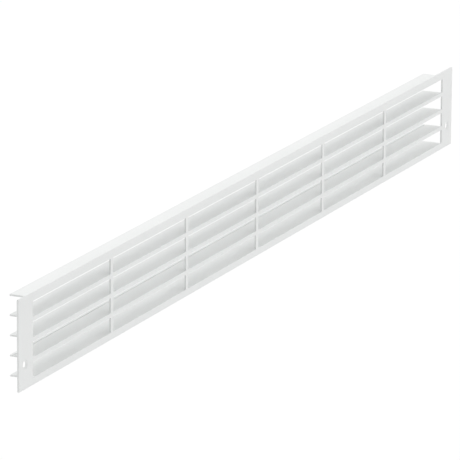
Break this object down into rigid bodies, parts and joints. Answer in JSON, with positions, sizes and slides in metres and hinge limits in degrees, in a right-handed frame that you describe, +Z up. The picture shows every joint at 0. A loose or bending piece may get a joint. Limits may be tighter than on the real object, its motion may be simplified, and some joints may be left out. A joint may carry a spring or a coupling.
{
  "type": "ventilation grille",
  "caption": "Long, low ventilation grille in white coated aluminium: a thin face plate with slot windows, level fins behind it and a countersunk screw hole at each end",
  "frame": {"origin": "on the plate's seating plane, which is its back, midway between the two screw holes", "axes": "+X along the grille, +Y from the face plate back into the opening, so the face looks towards -Y, and +Z up as installed"},
  "size_m": [0.6, 0.0134, 0.05],
  "materials": {
    "white_coating": "satin white powder coat on extruded aluminium"
  },
  "bodies": {
    "root": {"grille": "white_coating"}
  },
  "joints": []
}
